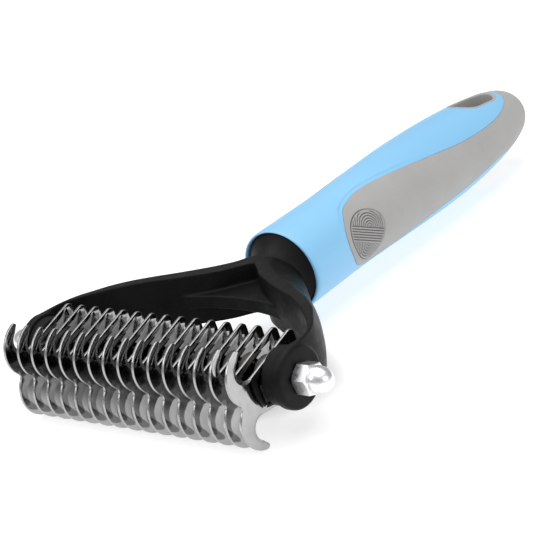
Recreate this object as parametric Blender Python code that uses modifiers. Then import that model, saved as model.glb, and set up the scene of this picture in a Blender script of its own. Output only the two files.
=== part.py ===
"""Undercoat rake: a pack of double-ended curved blades clamped in a fork, on a two-tone handle.

Metres, +Z up.  The handle runs along +Y and the blade rod along X.  The design is laid out
about the rod axis at the middle of the fork, and the whole part is then shifted so that its
origin is the bottom centre of its bounding box.
"""
import bpy
import bmesh
from math import acos, cos, pi, radians, sin, sqrt, tan
from mathutils import Matrix, Vector

MM = 0.001
GAP = 0.3 * MM                      # clearance between touching pieces

# Blade pack
BLADE_COUNT = 16
BLADE_PITCH = 5.5 * MM
BLADE_THICKNESS = 0.8 * MM
PACK_TILT = radians(4.35)           # the clamped pack leans with its front edge down
BORE_RADIUS = 2.75 * MM
SPACER_RADIUS = 5.0 * MM

# One blade, side view: y runs to the rear, z up, mirrored about z = 0
HOOK_CENTRE = (-10.5 * MM, 6.3 * MM)
HOOK_RADIUS = 8.6 * MM
NOTCH_CENTRE = (-10.7 * MM, 9.0 * MM)
NOTCH_RADIUS = 3.6 * MM
TIP_RADIUS = 0.85 * MM
TIP_ANGLE = radians(104)
NOTCH_OPEN_ANGLE = radians(126)
EDGE_SLOPE = radians(11)
REAR_Y = 9.4 * MM
REAR_CORNER_RADIUS = 1.7 * MM
WAIST_FILLET = 0.35 * MM

# Clamp rod, collars and cap nuts
ROD_RADIUS = 2.45 * MM
ROD_END_X = 55.0 * MM
ARM_OUTER_X = 48.5 * MM
ARM_INNER_X = 45.4 * MM
DISC_RADIUS = 8.7 * MM
DISC_EDGE = 1.2 * MM
COLLAR_RADIUS = 8.4 * MM
NUT_FLATS = 8.0 * MM
NUT_HEX_HEIGHT = 4.6 * MM
NUT_HEIGHT = 10.0 * MM
NUT_DOME_RADIUS = 3.75 * MM
NUT_BORE_DEPTH = 7.6 * MM

# Fork, right half in plan (x, y) in millimetres; the left half is its mirror image.
# Its outer and inner walls are drawn at mid height and at the crest, which are joined by a curve.
FORK_RISE = 0.75 * MM               # the fork's mid plane above the rod's axis
FORK_HALF_HEIGHT = 7.75 * MM
WEB_HALF_HEIGHT = 2.0 * MM
OUTER_MIDDLE = ((48.3, -1), (48.2, 5), (47.2, 10), (45.0, 14.6), (42.2, 18.4), (38.6, 22.4), (34.3, 26.9),
                (29.5, 31.4), (24.3, 36.0), (20.0, 40.2), (16.0, 44.0), (11.6, 48.0), (8.0, 51.0))
OUTER_CREST = ((47.0, -1), (46.3, 5), (45.2, 10), (43.6, 14.2), (40.8, 18.0), (37.5, 21.9), (33.0, 25.6),
               (27.5, 29.0), (21.3, 32.3), (15.5, 35.6), (10.5, 38.8), (6.0, 42.5), (4.0, 46.0))
INNER_MIDDLE = ((0, 42.2), (3.8, 38.9), (7.5, 35.4), (13.4, 31.2), (19.0, 28.0), (26.2, 23.7), (31.0, 20.8),
                (35.5, 17.8), (42.4, 12.8), (45.6, 8.2), (45.6, -1))
INNER_CREST = ((0, 42.5), (3.8, 39.3), (7.5, 35.9), (13.4, 32.4), (20.2, 28.9), (26.4, 26.1), (31.7, 22.8),
               (36.0, 19.4), (42.6, 13.0), (45.6, 8.2), (45.6, -1))
WEB_OUTLINE = ((0, 31.6), (8, 31.1), (12, 30.4), (16.5, 29.2), (20.5, 28.0), (20.5, 30.5), (8, 39.0), (0, 45.0))

# Neck and tang, turned about the handle axis
NECK_RADIUS = 11.75 * MM
NECK_FRONT_Y = 43.0 * MM
NECK_END_Y = 54.9 * MM
TANG_RADIUS = 8.0 * MM
TANG_END_Y = 98.0 * MM

# Handle: station along Y, half height, rise of the section's centre (millimetres)
HANDLE_STATIONS = ((52.2, 12.4, 0.75), (53.2, 12.9, 0.75), (64, 12.8, 0.75), (80, 12.7, 0.75), (98, 13.1, 0.7),
                   (114, 13.4, 0.5), (130, 13.2, 0.2), (145, 12.3, 0), (157, 10.9, 0), (166, 8.9, 0),
                   (170.5, 6.9, 0), (173.2, 4.2, 0), (174, 1.6, 0))
SECTION_WIDTH = 1.06                # half width and half height of a section, times its station
SECTION_HEIGHT = 0.98
SECTION_SIDES = 36
MOUTH_RADIUS = 12.1 * MM
MOUTH_DEPTH = 3.0 * MM
SKIN = 2.2 * MM                     # thickness of the soft overmould

# Overmould outline in side view (y, z), millimetres, round the front and out past the butt
PANEL_UPPER = ((69.1, 5.0), (73.6, 9.8), (80, 11.3), (87.5, 11.7), (99.2, 11.0), (113, 9.4), (132, 6.9),
               (149, 6.0), (161.5, 7.4), (166.0, 11.0), (170, 16))
PANEL_LOWER = ((170, -16), (166.0, -11.0), (161.5, -7.4), (149, -6.0), (132, -6.9), (114, -7.6),
               (100, -8.4), (85, -8.6), (73.4, -7.0), (69.0, -1.0))
PANEL_END_Y = 182
HANG_CENTRE_Y = 154.0 * MM
HANG_LENGTH = 16.0 * MM
HANG_WIDTH = 9.6 * MM
HANG_LINING = 1.3 * MM
CHANNEL_HALF = 2.2 * MM             # feed channel that joins the hole's lining to the butt

COLLECTION = "undercoat_rake"
CUTTERS = "cutters"
SMOOTH_ANGLE = radians(35)


# ---------------------------------------------------------------- helpers

def clear_scene():
    for item in list(bpy.data.objects):
        bpy.data.objects.remove(item, do_unlink=True)


def make_collection(name):
    collection = bpy.data.collections.new(name)
    bpy.context.scene.collection.children.link(collection)
    return collection


def make_material(name, colour, roughness, metallic=0.0):
    material = bpy.data.materials.new(name)
    material.use_nodes = True
    shader = material.node_tree.nodes["Principled BSDF"]
    shader.inputs["Base Color"].default_value = (*colour, 1.0)
    shader.inputs["Roughness"].default_value = roughness
    shader.inputs["Metallic"].default_value = metallic
    return material


def add_object(name, mesh, collection, material=None):
    item = bpy.data.objects.new(name, mesh)
    collection.objects.link(item)
    if material:
        mesh.materials.clear()
        mesh.materials.append(material)
        mesh.shade_smooth()
        mesh.set_sharp_from_angle(angle=SMOOTH_ANGLE)
    return item


def as_cutter(item):
    item.hide_render = True
    item.display_type = "WIRE"
    return item


def evaluated_mesh(item):
    graph = bpy.context.evaluated_depsgraph_get()
    return bpy.data.meshes.new_from_object(item.evaluated_get(graph))


def weld(mesh):
    work = bmesh.new()
    work.from_mesh(mesh)
    bmesh.ops.remove_doubles(work, verts=work.verts, dist=0.00001)
    bmesh.ops.recalc_face_normals(work, faces=work.faces)
    work.to_mesh(mesh)
    work.free()
    return mesh


def plate_mesh(name, outlines, thickness):
    """A flat plate from closed outlines, in the curve's own XY plane, centred on z = 0."""
    curve = bpy.data.curves.new(name, "CURVE")
    curve.dimensions = "2D"
    curve.fill_mode = "BOTH"
    curve.extrude = thickness / 2
    for outline in outlines:
        spline = curve.splines.new("POLY")
        spline.points.add(len(outline) - 1)
        for point, (u, v) in zip(spline.points, outline):
            point.co = (u, v, 0, 1)
        spline.use_cyclic_u = True
    holder = bpy.data.objects.new(name, curve)
    bpy.context.scene.collection.objects.link(holder)
    mesh = weld(evaluated_mesh(holder))
    bpy.data.objects.remove(holder, do_unlink=True)
    return mesh


def turned_mesh(name, profile, sides):
    """A solid of revolution about Z from (radius, z) points that run from top to bottom."""
    mesh = bpy.data.meshes.new(name)
    points = [(radius, 0, z) for radius, z in profile]
    mesh.from_pydata(points, [(i, i + 1) for i in range(len(points) - 1)], [])
    holder = bpy.data.objects.new(name, mesh)
    bpy.context.scene.collection.objects.link(holder)
    screw = holder.modifiers.new("Turn", "SCREW")
    screw.steps = sides
    screw.render_steps = sides
    screw.use_merge_vertices = True
    screw.merge_threshold = 0.00001
    result = weld(evaluated_mesh(holder))
    bpy.data.objects.remove(holder, do_unlink=True)
    return result


def cylinder_mesh(name, radius, length, sides, edge=0.0, steps=2):
    """A cylinder about Z, centred on z = 0, its rims rounded by edge."""
    half = length / 2
    turns = [i * pi / 2 / steps for i in range(steps + 1)] if edge else [0]
    upper = [(radius - edge + edge * sin(t), half - edge + edge * cos(t)) for t in turns]
    lower = [(r, -z) for r, z in reversed(upper)]
    return turned_mesh(name, [(0, half), *upper, *lower, (0, -half)], sides)


def loft_mesh(name, rings):
    """A closed solid through rings of equal point count, capped at both ends."""
    count = len(rings[0])
    points = [point for ring in rings for point in ring]
    faces = [tuple(range(count))]
    for level in range(len(rings) - 1):
        low, high = level * count, (level + 1) * count
        for i in range(count):
            j = (i + 1) % count
            faces.append((low + i, low + j, high + j, high + i))
    last = (len(rings) - 1) * count
    faces.append(tuple(range(last, last + count)))
    mesh = bpy.data.meshes.new(name)
    mesh.from_pydata(points, [], faces)
    work = bmesh.new()
    work.from_mesh(mesh)
    bmesh.ops.recalc_face_normals(work, faces=work.faces)
    work.to_mesh(mesh)
    work.free()
    return mesh


def boolean(target, operation, tool, solver="EXACT"):
    modifier = target.modifiers.new(f"{operation.title()} {tool.name}", "BOOLEAN")
    modifier.operation = operation
    modifier.object = tool
    modifier.solver = solver


def bake(item):
    """Replace an object's mesh by its evaluated one, so that it can be shared or cut again."""
    bpy.context.view_layer.update()
    mesh = evaluated_mesh(item)
    item.modifiers.clear()
    item.data = mesh
    return item


def arc(centre, radius, start, end, steps):
    turns = [start + (end - start) * i / steps for i in range(steps + 1)]
    return [(centre[0] + radius * cos(t), centre[1] + radius * sin(t)) for t in turns]


def mirrored(half):
    """A closed outline from its right half, which starts and ends on the mirror line or beside it."""
    left = [(-x, y) for x, y in reversed(half) if x > 0]
    return list(half) + left


def scaled(points):
    return [tuple(value * MM for value in point) for point in points]


def smooth_path(points, steps):
    """Catmull-Rom points through an open run of control points."""
    controls = [Vector(points[0])] + [Vector(p) for p in points] + [Vector(points[-1])]
    path = []
    for a, b, c, d in zip(controls, controls[1:], controls[2:], controls[3:]):
        for step in range(steps):
            t = step / steps
            path.append(0.5 * (2 * b + (c - a) * t + (2 * a - 5 * b + 4 * c - d) * t * t
                               + (3 * b - a - 3 * c + d) * t ** 3))
    path.append(Vector(points[-1]))
    return [tuple(p) for p in path]


def grown(outline, distance):
    """A closed outline moved outwards along its normals."""
    area = sum(a[0] * b[1] - b[0] * a[1] for a, b in zip(outline, outline[1:] + outline[:1]))
    side = 1 if area > 0 else -1
    result = []
    for before, here, after in zip(outline[-1:] + outline[:-1], outline, outline[1:] + outline[:1]):
        along_in = (Vector(here) - Vector(before)).normalized()
        along_out = (Vector(after) - Vector(here)).normalized()
        normal = Vector((along_in.y + along_out.y, -along_in.x - along_out.x)).normalized()
        stretch = distance / max(0.5, normal.dot(Vector((along_in.y, -along_in.x))))
        result.append(tuple(Vector(here) + side * stretch * normal))
    return result


# ---------------------------------------------------------------- blade pack

def blade_outline():
    """The blade's closed outline in (y, z): waist, hook, tip, fur notch, comb edge and rear corner."""
    hook_y, hook_z = HOOK_CENTRE
    waist_turn = pi + acos(sqrt(HOOK_RADIUS ** 2 - hook_z ** 2) / HOOK_RADIUS)
    waist_start = waist_turn - WAIST_FILLET / HOOK_RADIUS
    hook = arc(HOOK_CENTRE, HOOK_RADIUS, waist_start, TIP_ANGLE, 8)
    reach = HOOK_RADIUS - TIP_RADIUS
    tip_centre = (hook_y + reach * cos(TIP_ANGLE), hook_z + reach * sin(TIP_ANGLE))
    tip = arc(tip_centre, TIP_RADIUS, TIP_ANGLE, radians(-15), 3)[1:]
    notch_end = 1.5 * pi + EDGE_SLOPE
    notch = arc(NOTCH_CENTRE, NOTCH_RADIUS, NOTCH_OPEN_ANGLE, notch_end, 7)
    edge_y, edge_z = notch[-1]
    corner_y = REAR_Y - REAR_CORNER_RADIUS
    corner_z = edge_z + tan(EDGE_SLOPE) * (corner_y - edge_y) - REAR_CORNER_RADIUS / cos(EDGE_SLOPE)
    corner = arc((corner_y, corner_z), REAR_CORNER_RADIUS, pi / 2 + EDGE_SLOPE, 0, 3)
    upper = hook + tip + notch + corner
    lower = [(y, -z) for y, z in reversed(upper)]
    return upper + lower


def circle(radius, sides):
    return arc((0, 0), radius, 0, 2 * pi * (sides - 1) / sides, sides - 1)


def side_plane_rotation():
    """Turns a plate's own (x, y, z) into the world's (y, z, x)."""
    return Matrix(((0, 0, 1, 0), (1, 0, 0, 0), (0, 1, 0, 0), (0, 0, 0, 1)))


def build_blade_pack(collection, origin, steel, black):
    blade = plate_mesh("blade", [blade_outline(), circle(BORE_RADIUS, 16)], BLADE_THICKNESS)
    spacer_length = BLADE_PITCH - BLADE_THICKNESS - 2 * GAP
    spacer = plate_mesh("spacer", [circle(SPACER_RADIUS, 16), circle(BORE_RADIUS, 16)], spacer_length)
    stand = Matrix.Rotation(PACK_TILT, 4, "X") @ side_plane_rotation()
    half_span = (BLADE_COUNT - 1) / 2
    for index in range(BLADE_COUNT):
        x = (index - half_span) * BLADE_PITCH
        item = add_object(f"blade_{index + 1:02d}", blade, collection, steel)
        item.matrix_world = Matrix.Translation(origin + Vector((x, 0, 0))) @ stand
        if index + 1 < BLADE_COUNT:
            item = add_object(f"spacer_{index + 1:02d}", spacer, collection, black)
            item.matrix_world = Matrix.Translation(origin + Vector((x + BLADE_PITCH / 2, 0, 0))) @ stand


# ---------------------------------------------------------------- rod, collars, cap nuts

def build_rod(collection, origin, zinc):
    mesh = cylinder_mesh("threaded_rod", ROD_RADIUS, 2 * ROD_END_X, 16, 0.5 * MM, 1)
    item = add_object("threaded_rod", mesh, collection, zinc)
    item.matrix_world = Matrix.Translation(origin) @ Matrix.Rotation(pi / 2, 4, "Y")


def build_collars(collection, origin, black):
    pack_end = (BLADE_COUNT - 1) / 2 * BLADE_PITCH + BLADE_THICKNESS / 2
    length = ARM_INNER_X - pack_end - 2 * GAP
    mesh = plate_mesh("end_collar", [circle(COLLAR_RADIUS, 24), circle(BORE_RADIUS, 16)], length)
    for name, side in (("right_end_collar", 1), ("left_end_collar", -1)):
        item = add_object(name, mesh, collection, black)
        place = origin + Vector((side * (pack_end + ARM_INNER_X) / 2, 0, 0))
        item.matrix_world = Matrix.Translation(place) @ side_plane_rotation()


def cap_nut_mesh(cutters):
    """A hexagon with chamfered corners, a domed end and a blind bore, seated face at z = 0."""
    hexagon = bpy.data.meshes.new("nut_hexagon")
    work = bmesh.new()
    corner = NUT_FLATS / 2 / cos(pi / 6)
    middle = Matrix.Translation((0, 0, NUT_HEX_HEIGHT / 2))
    bmesh.ops.create_cone(work, cap_ends=True, segments=6, radius1=corner, radius2=corner,
                          depth=NUT_HEX_HEIGHT, matrix=middle)
    work.to_mesh(hexagon)
    work.free()
    nut = add_object("nut_body", hexagon, cutters)
    chamfer = 0.45 * MM
    envelope_profile = [(0, NUT_HEX_HEIGHT + chamfer), (NUT_FLATS / 2, NUT_HEX_HEIGHT + chamfer / 3),
                        (corner + 0.1 * MM, NUT_HEX_HEIGHT - chamfer), (corner + 0.1 * MM, chamfer),
                        (NUT_FLATS / 2 + chamfer / 2, -chamfer / 4), (0, -chamfer)]
    envelope = as_cutter(add_object("nut_envelope", turned_mesh("nut_envelope", envelope_profile, 24), cutters))
    dome_height = NUT_HEIGHT - NUT_HEX_HEIGHT
    turns = [i * pi / 12 for i in range(7)]
    dome_profile = [(NUT_DOME_RADIUS * sin(t), NUT_HEX_HEIGHT + dome_height * cos(t)) for t in turns]
    dome_profile += [(NUT_DOME_RADIUS, NUT_HEX_HEIGHT / 2), (0, NUT_HEX_HEIGHT / 2)]
    dome = as_cutter(add_object("nut_dome", turned_mesh("nut_dome", dome_profile, 24), cutters))
    bore_profile = [(0, NUT_BORE_DEPTH), (BORE_RADIUS, NUT_BORE_DEPTH - MM), (BORE_RADIUS, -MM), (0, -MM)]
    bore = as_cutter(add_object("nut_bore", turned_mesh("nut_bore", bore_profile, 16), cutters))
    boolean(nut, "INTERSECT", envelope)
    boolean(nut, "UNION", dome)
    boolean(nut, "DIFFERENCE", bore)
    mesh = bake(nut).data
    bpy.data.objects.remove(nut, do_unlink=True)
    return mesh


def build_cap_nuts(collection, cutters, origin, zinc):
    mesh = cap_nut_mesh(cutters)
    for name, side in (("right_cap_nut", 1), ("left_cap_nut", -1)):
        item = add_object(name, mesh, collection, zinc)
        place = origin + Vector((side * (ARM_OUTER_X + GAP), 0, 0))
        item.matrix_world = Matrix.Translation(place) @ Matrix.Rotation(side * pi / 2, 4, "Y")


# ---------------------------------------------------------------- fork

def blend_outlines(first, second, amount):
    return [(a[0] + (b[0] - a[0]) * amount, a[1] + (b[1] - a[1]) * amount) for a, b in zip(first, second)]


def fork_walls_mesh():
    """Plan outlines lofted through the height: thickest at mid height, drawn in to both crests."""
    inner_middle, inner_crest = scaled(INNER_MIDDLE), scaled(INNER_CREST)
    outer_middle, outer_crest = scaled(OUTER_MIDDLE), scaled(OUTER_CREST)
    rings = []
    for level in (-1, -0.8, -0.55, -0.28, 0, 0.28, 0.55, 0.8, 1):
        inner = blend_outlines(inner_middle, inner_crest, abs(level))
        outer = blend_outlines(outer_middle, outer_crest, level * level)
        z = FORK_RISE + level * FORK_HALF_HEIGHT
        rings.append([(x, y, z) for x, y in mirrored(inner + outer)])
    return loft_mesh("fork", rings)


def web_tool(cutters):
    """The plate that closes the apex between the two walls."""
    mesh = plate_mesh("fork_web", [mirrored(scaled(WEB_OUTLINE))], 2 * WEB_HALF_HEIGHT)
    mesh.transform(Matrix.Translation((0, 0, FORK_RISE)))
    return as_cutter(add_object("fork_web", mesh, cutters))


def neck_mesh():
    """The turned neck with its domed front, and the tang that the handle is moulded over."""
    dome = arc((0, 0), 1, 0, pi / 2, 6)
    depth = 6.5 * MM
    front = [(NECK_RADIUS * u, NECK_FRONT_Y + depth * (1 - v)) for v, u in dome]
    shoulder = [(NECK_RADIUS, NECK_END_Y), (TANG_RADIUS, NECK_END_Y)]
    end = [(TANG_RADIUS, TANG_END_Y - MM), (TANG_RADIUS - MM, TANG_END_Y), (0, TANG_END_Y)]
    profile = list(reversed(front + shoulder + end))
    mesh = turned_mesh("neck", profile, 32)
    mesh.transform(Matrix.Rotation(-pi / 2, 4, "X"))
    mesh.transform(Matrix.Translation((0, 0, FORK_RISE)))
    return mesh


def arm_disc(side, cutters):
    """The round end of one arm, its outer rim eased."""
    profile = [(0, ARM_OUTER_X), (DISC_RADIUS - DISC_EDGE, ARM_OUTER_X),
               (DISC_RADIUS - DISC_EDGE / 3, ARM_OUTER_X - DISC_EDGE / 3),
               (DISC_RADIUS, ARM_OUTER_X - DISC_EDGE), (DISC_RADIUS, ARM_INNER_X), (0, ARM_INNER_X)]
    mesh = turned_mesh("arm_disc", profile, 28)
    mesh.transform(Matrix.Rotation(side * pi / 2, 4, "Y"))
    return as_cutter(add_object("arm_disc", mesh, cutters))


def build_fork(collection, cutters, origin, black):
    fork = add_object("fork", fork_walls_mesh(), collection, black)
    neck = as_cutter(add_object("neck", neck_mesh(), cutters))
    bore_mesh = cylinder_mesh("arm_bores", BORE_RADIUS, 4 * ARM_OUTER_X, 16)
    bore_mesh.transform(Matrix.Rotation(pi / 2, 4, "Y"))
    bores = as_cutter(add_object("arm_bores", bore_mesh, cutters))
    additions = [web_tool(cutters), neck, arm_disc(1, cutters), arm_disc(-1, cutters)]
    for tool in additions:
        boolean(fork, "UNION", tool, "MANIFOLD")
    boolean(fork, "DIFFERENCE", bores)
    for item in additions + [bores, fork]:
        item.matrix_world = Matrix.Translation(origin)


# ---------------------------------------------------------------- handle

def handle_mesh(name, inset):
    """The handle's outer form, or the same form drawn in by inset for the core under the soft skin."""
    stations = smooth_path(HANDLE_STATIONS, 2)
    rings = []
    last_y = HANDLE_STATIONS[-1][0] * MM
    for y, half, rise in stations:
        across = half * MM * SECTION_WIDTH - inset
        height = half * MM * SECTION_HEIGHT - inset
        place = min(y * MM, last_y - inset) if inset else y * MM
        if min(across, height) < 1.2 * MM:
            break
        turns = [2 * pi * i / SECTION_SIDES for i in range(SECTION_SIDES)]
        rings.append([(across * cos(t), place, rise * MM + height * sin(t)) for t in turns])
    return loft_mesh(name, rings)


def panel_prism(name, grow, cutters):
    """The overmould's side outline, extruded right across the handle."""
    upper = smooth_path(PANEL_LOWER[-1:] + PANEL_UPPER, 2)
    lower = smooth_path(PANEL_LOWER, 2)
    outline = upper + [(PANEL_END_Y, 16), (PANEL_END_Y, -16)] + lower[:-1]
    mesh = plate_mesh(name, [grown(scaled(outline), grow)], 40 * MM)
    mesh.transform(side_plane_rotation())
    return as_cutter(add_object(name, mesh, cutters))


def slot_outline(grow):
    radius = HANG_WIDTH / 2 + grow
    shift = (HANG_LENGTH - HANG_WIDTH) / 2
    rear = arc((0, HANG_CENTRE_Y + shift), radius, 0, pi, 7)
    front = arc((0, HANG_CENTRE_Y - shift), radius, pi, 2 * pi, 7)
    return rear + front


def slot_cutter(name, grow, cutters):
    return as_cutter(add_object(name, plate_mesh(name, [slot_outline(grow)], 40 * MM), cutters))


def channel_cutter(name, grow, cutters):
    start = HANG_CENTRE_Y + HANG_LENGTH / 2 + HANG_LINING / 2 - grow
    end = HANDLE_STATIONS[-1][0] * MM - SKIN / 2
    half = CHANNEL_HALF + grow
    mesh = bpy.data.meshes.new(name)
    work = bmesh.new()
    box = Matrix.Translation((0, (start + end) / 2, 0)) @ Matrix.Diagonal((2 * half, end - start, 2 * half, 1))
    bmesh.ops.create_cube(work, size=1, matrix=box)
    work.to_mesh(mesh)
    work.free()
    return as_cutter(add_object(name, mesh, cutters))


def build_handle(collection, cutters, origin, blue, grey):
    core = add_object("handle_core", handle_mesh("handle_core", 0), collection, blue)
    grip = add_object("grip_overmould", handle_mesh("grip_overmould", 0), collection, grey)
    inner = as_cutter(add_object("inner_form", handle_mesh("inner_form", SKIN), cutters))
    inner_slim = as_cutter(add_object("inner_form_slim", handle_mesh("inner_form_slim", SKIN + GAP), cutters))
    prism = panel_prism("panel_prism", 0, cutters)
    recess = panel_prism("panel_recess", GAP, cutters)
    hole = slot_cutter("hang_hole", 0, cutters)
    lining = slot_cutter("hang_lining", HANG_LINING, cutters)
    lining_seat = slot_cutter("hang_lining_seat", HANG_LINING + GAP, cutters)
    channel = channel_cutter("feed_channel", 0, cutters)
    channel_seat = channel_cutter("feed_channel_seat", GAP, cutters)
    mouth_profile = [(0, MOUTH_DEPTH), (MOUTH_RADIUS, MOUTH_DEPTH), (MOUTH_RADIUS, -MM), (0, -MM)]
    mouth = as_cutter(add_object("mouth", turned_mesh("mouth", mouth_profile, 32), cutters))
    tang_length = TANG_END_Y + GAP - HANDLE_STATIONS[0][0] * MM
    tang_profile = [(0, tang_length), (TANG_RADIUS + GAP, tang_length), (TANG_RADIUS + GAP, -MM), (0, -MM)]
    socket = as_cutter(add_object("tang_socket", turned_mesh("tang_socket", tang_profile, 24), cutters))
    seat = Matrix.Translation((0, HANDLE_STATIONS[0][0] * MM, HANDLE_STATIONS[0][2] * MM))
    for tool in (mouth, socket):
        tool.data.transform(seat @ Matrix.Rotation(-pi / 2, 4, "X"))

    boolean(recess, "DIFFERENCE", inner_slim)
    for tool in (recess, mouth, socket, lining_seat, channel_seat):
        boolean(core, "DIFFERENCE", tool)

    boolean(prism, "DIFFERENCE", inner)
    boolean(prism, "UNION", lining)
    boolean(prism, "UNION", channel)
    boolean(grip, "INTERSECT", prism)
    boolean(grip, "DIFFERENCE", hole)
    tools = [inner, inner_slim, prism, recess, hole, lining, lining_seat, channel, channel_seat, mouth, socket]
    for item in tools + [core, grip]:
        item.matrix_world = Matrix.Translation(origin)


# ---------------------------------------------------------------- placing

def part_origin():
    """Where the rod's middle sits once the bounding box's bottom centre is the origin."""
    tilted = [Matrix.Rotation(PACK_TILT, 2) @ Vector(point) for point in blade_outline()]
    front = min(point.x for point in tilted)
    bottom = min(point.y for point in tilted)
    rear = HANDLE_STATIONS[-1][0] * MM
    return Vector((0, -(front + rear) / 2, -bottom))


def main():
    clear_scene()
    collection = make_collection(COLLECTION)
    cutters = make_collection(CUTTERS)
    black = make_material("black_plastic", (0.013, 0.013, 0.012), 0.42)
    blue = make_material("blue_plastic", (0.31, 0.64, 0.93), 0.35)
    grey = make_material("grey_soft_plastic", (0.42, 0.41, 0.40), 0.75)
    steel = make_material("blade_steel", (0.82, 0.82, 0.83), 0.12, 1.0)
    zinc = make_material("bright_zinc", (0.80, 0.81, 0.82), 0.22, 1.0)
    origin = part_origin()
    build_fork(collection, cutters, origin, black)
    build_handle(collection, cutters, origin, blue, grey)
    build_blade_pack(collection, origin, steel, black)
    build_rod(collection, origin, zinc)
    build_collars(collection, origin, black)
    build_cap_nuts(collection, cutters, origin, zinc)


main()
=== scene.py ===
"""Undercoat rake: the looks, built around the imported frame.

Every length is in metres.  Sizes are laid out about the rod's axis at the middle of the fork,
as in the CAD, and ORIGIN (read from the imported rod) moves them into the frame.
"""

from math import atan2, cos, pi, radians, sin, sqrt, tan

import bmesh
import bpy
import numpy as np
from mathutils import Matrix, Vector


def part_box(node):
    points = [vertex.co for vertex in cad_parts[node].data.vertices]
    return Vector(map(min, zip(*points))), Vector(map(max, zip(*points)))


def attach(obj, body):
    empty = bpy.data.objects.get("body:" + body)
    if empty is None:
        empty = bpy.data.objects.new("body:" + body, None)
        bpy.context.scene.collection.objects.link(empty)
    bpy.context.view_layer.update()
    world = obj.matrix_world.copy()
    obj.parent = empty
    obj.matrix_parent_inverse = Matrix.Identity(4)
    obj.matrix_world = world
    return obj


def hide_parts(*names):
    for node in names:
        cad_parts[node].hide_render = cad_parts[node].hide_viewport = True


MM = 0.001

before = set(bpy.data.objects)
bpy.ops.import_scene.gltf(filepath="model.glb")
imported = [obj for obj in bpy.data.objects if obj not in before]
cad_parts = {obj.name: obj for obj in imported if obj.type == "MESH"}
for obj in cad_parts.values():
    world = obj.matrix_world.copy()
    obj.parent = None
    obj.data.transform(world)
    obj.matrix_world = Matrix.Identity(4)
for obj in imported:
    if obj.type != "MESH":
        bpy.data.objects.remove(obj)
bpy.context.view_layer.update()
rod_low, rod_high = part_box("threaded_rod")
ORIGIN = (rod_low + rod_high) / 2
TO_FRAME = Matrix.Translation(ORIGIN)

# Camera, placed from the rod's middle
CAMERA_PLACE = Vector((413.6, -367.5, 240.4)) * MM
CAMERA_RIGHT = Vector((0.7522, 0.6124, -0.2431))
CAMERA_BACK = Vector((0.6553, -0.6568, 0.3732))
CAMERA_LENS = 150.4

# Blades
BLADE_COUNT = 16
BLADE_PITCH = 5.5 * MM
BLADE_THICKNESS = 0.8 * MM
BLADE_EDGE = 0.13 * MM
BLADE_LEAN = 0.25                     # degrees each way, at random
PACK_TILT = radians(4.35)
BORE_RADIUS = 2.75 * MM
SPACER_RADIUS = 5.0 * MM
SPACER_EDGE = 0.35 * MM
HOOK_CENTRE = (-10.5 * MM, 6.5 * MM)
HOOK_RADIUS = 8.45 * MM
NOTCH_CENTRE = (-10.7 * MM, 9.0 * MM)
NOTCH_RADIUS = 3.6 * MM
TIP_RADIUS = 0.85 * MM
TIP_ANGLE = radians(104)
NOTCH_OPEN_ANGLE = radians(126)
EDGE_SLOPE = radians(11)
REAR_Y = 9.4 * MM
REAR_CORNER_RADIUS = 1.7 * MM
WAIST_FILLET = 1.4 * MM
GRIND_WIDTH = 1.3 * MM                # the ground bevel round the fur notch, on the right faces
GRIND_DEPTH = 0.5 * MM
GRIND_LEAD = 4                        # it starts this many outline points before the notch
GRIND_FADE = 0.7

# Rod, collars, cap nuts
ROD_RADIUS = 2.45 * MM
ROD_END_X = 55.0 * MM
ROD_CHAMFER = 0.6 * MM
THREAD_PITCH = 0.8 * MM
THREAD_DEPTH = 0.42 * MM
ARM_OUTER_X = 48.5 * MM
ARM_INNER_X = 45.4 * MM
ARM_EDGE = 1.1 * MM
DISC_RADIUS = 8.7 * MM
COLLAR_RADIUS = 8.0 * MM
COLLAR_EDGE = 0.4 * MM
GAP = 0.3 * MM
COLLAR_GAP = 0.03 * MM
NUT_FLATS = 8.0 * MM
NUT_HEX_HEIGHT = 4.6 * MM
NUT_HEIGHT = 10.0 * MM
NUT_DOME_RADIUS = 3.75 * MM
NUT_BORE_DEPTH = 7.6 * MM
NUT_CHAMFER = 0.55 * MM
NUT_TURN = radians(12)

# Fork: its right half in plan (x, y in millimetres), at mid height and at the crest
FORK_RISE = 0.75 * MM
FORK_HALF_HEIGHT = 7.75 * MM
WEB_HALF_HEIGHT = 2.0 * MM
WEB_EDGE = 0.3 * MM
OUTER_MIDDLE = ((48.3, -1), (48.2, 5), (47.2, 10), (45.0, 14.6), (42.2, 18.4), (38.6, 22.4), (34.3, 26.9),
                (29.5, 31.4), (24.3, 36.0), (20.0, 40.2), (16.0, 44.0), (11.6, 48.0), (8.0, 51.0))
OUTER_CREST = ((48.1, -1), (47.3, 5), (46.0, 10), (43.9, 14.2), (40.8, 18.0), (37.5, 21.9), (33.0, 25.6),
               (27.5, 29.0), (21.3, 32.3), (15.5, 35.6), (10.5, 38.8), (6.0, 42.5), (4.0, 46.0))
INNER_MIDDLE = ((0, 42.2), (3.8, 38.9), (7.5, 35.4), (13.4, 31.2), (19.0, 28.0), (26.2, 23.7), (31.0, 20.8),
                (35.5, 17.8), (42.4, 12.8), (45.6, 8.2), (45.6, -1))
INNER_CREST = ((0, 42.5), (3.8, 39.3), (7.5, 35.9), (13.4, 32.4), (20.2, 28.9), (26.4, 26.1), (31.7, 22.8),
               (36.0, 19.4), (42.6, 13.0), (45.6, 8.2), (45.6, -1))
WEB_OUTLINE = ((0, 31.6), (8, 31.1), (12, 30.4), (16.5, 29.2), (20.5, 28.0), (20.5, 30.5), (8, 39.0), (0, 45.0))
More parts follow.
